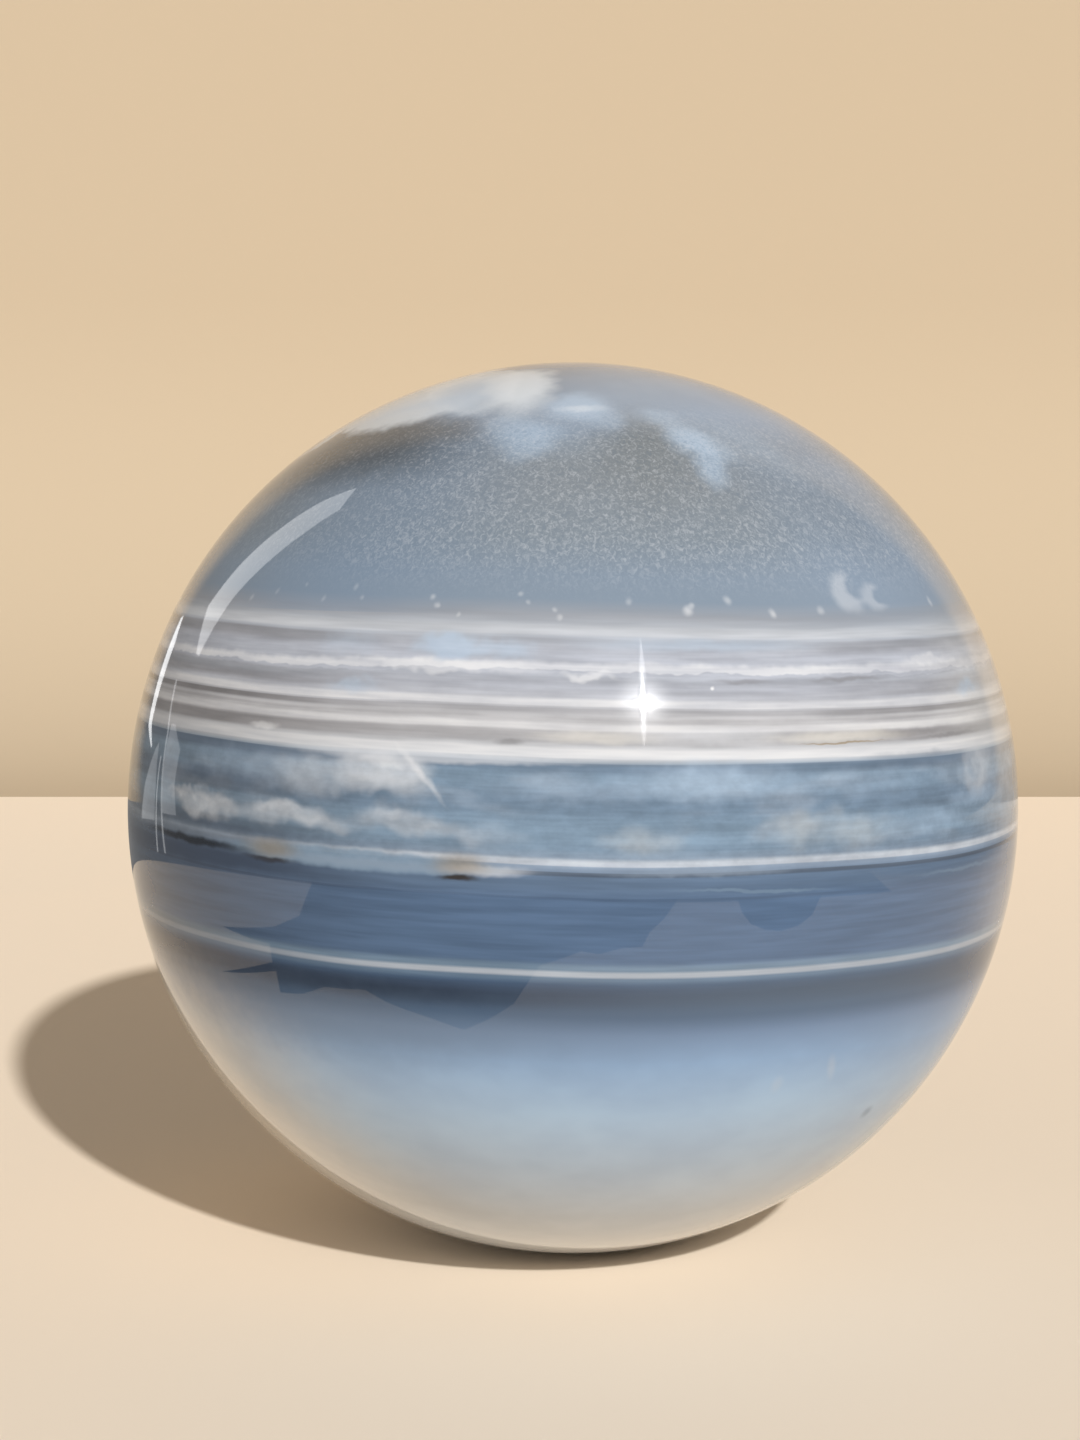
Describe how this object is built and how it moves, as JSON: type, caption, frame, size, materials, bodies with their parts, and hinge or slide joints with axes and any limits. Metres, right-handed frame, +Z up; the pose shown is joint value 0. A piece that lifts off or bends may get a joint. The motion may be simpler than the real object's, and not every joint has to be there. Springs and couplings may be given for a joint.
{
  "type": "agate sphere",
  "caption": "Polished sphere of banded blue-grey agate, with a small ground flat underneath that it rests on.",
  "frame": {"origin": "centre of the small flat spot, on the surface that the stone rests on", "axes": "+Z up through the sphere's centre; -Y is the side that the picture shows"},
  "size_m": [0.08, 0.08, 0.0795],
  "materials": {
    "agate": "polished"
  },
  "bodies": {
    "root": {"agate_sphere": "agate"}
  },
  "joints": []
}
